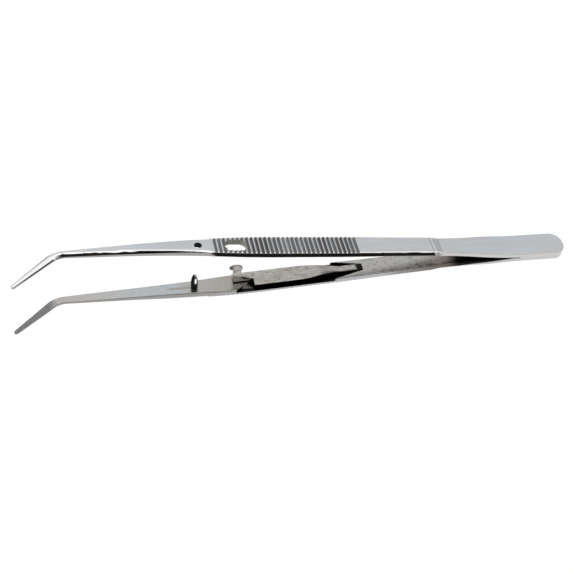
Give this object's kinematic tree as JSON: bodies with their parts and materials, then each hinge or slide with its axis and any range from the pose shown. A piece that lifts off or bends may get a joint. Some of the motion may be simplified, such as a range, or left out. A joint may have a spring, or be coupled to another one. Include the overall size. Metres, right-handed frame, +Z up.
{
  "type": "dental cotton pliers",
  "caption": "Slim self-locking steel tweezers with sideways bent, serrated tips, ribbed grips, a guide pin and a hooked lock spring.",
  "frame": {"origin": "centre of the bounding box's base, where the closed heel's edge and the lower grip's hump touch the table", "axes": "+X along the pliers towards the heel, tips towards -X and bent towards -Y, +Z up with the slotted arm on top"},
  "size_m": [0.1522, 0.0146, 0.0204],
  "materials": {
    "arm_steel": "satin, brushed lengthwise",
    "pin_steel": "polished",
    "spring_steel": "satin"
  },
  "bodies": {
    "root": {"upper_arm": "arm_steel", "lower_arm": "arm_steel", "guide_pin": "pin_steel", "lock_spring": "spring_steel", "lock_rivet": "spring_steel"}
  },
  "joints": []
}
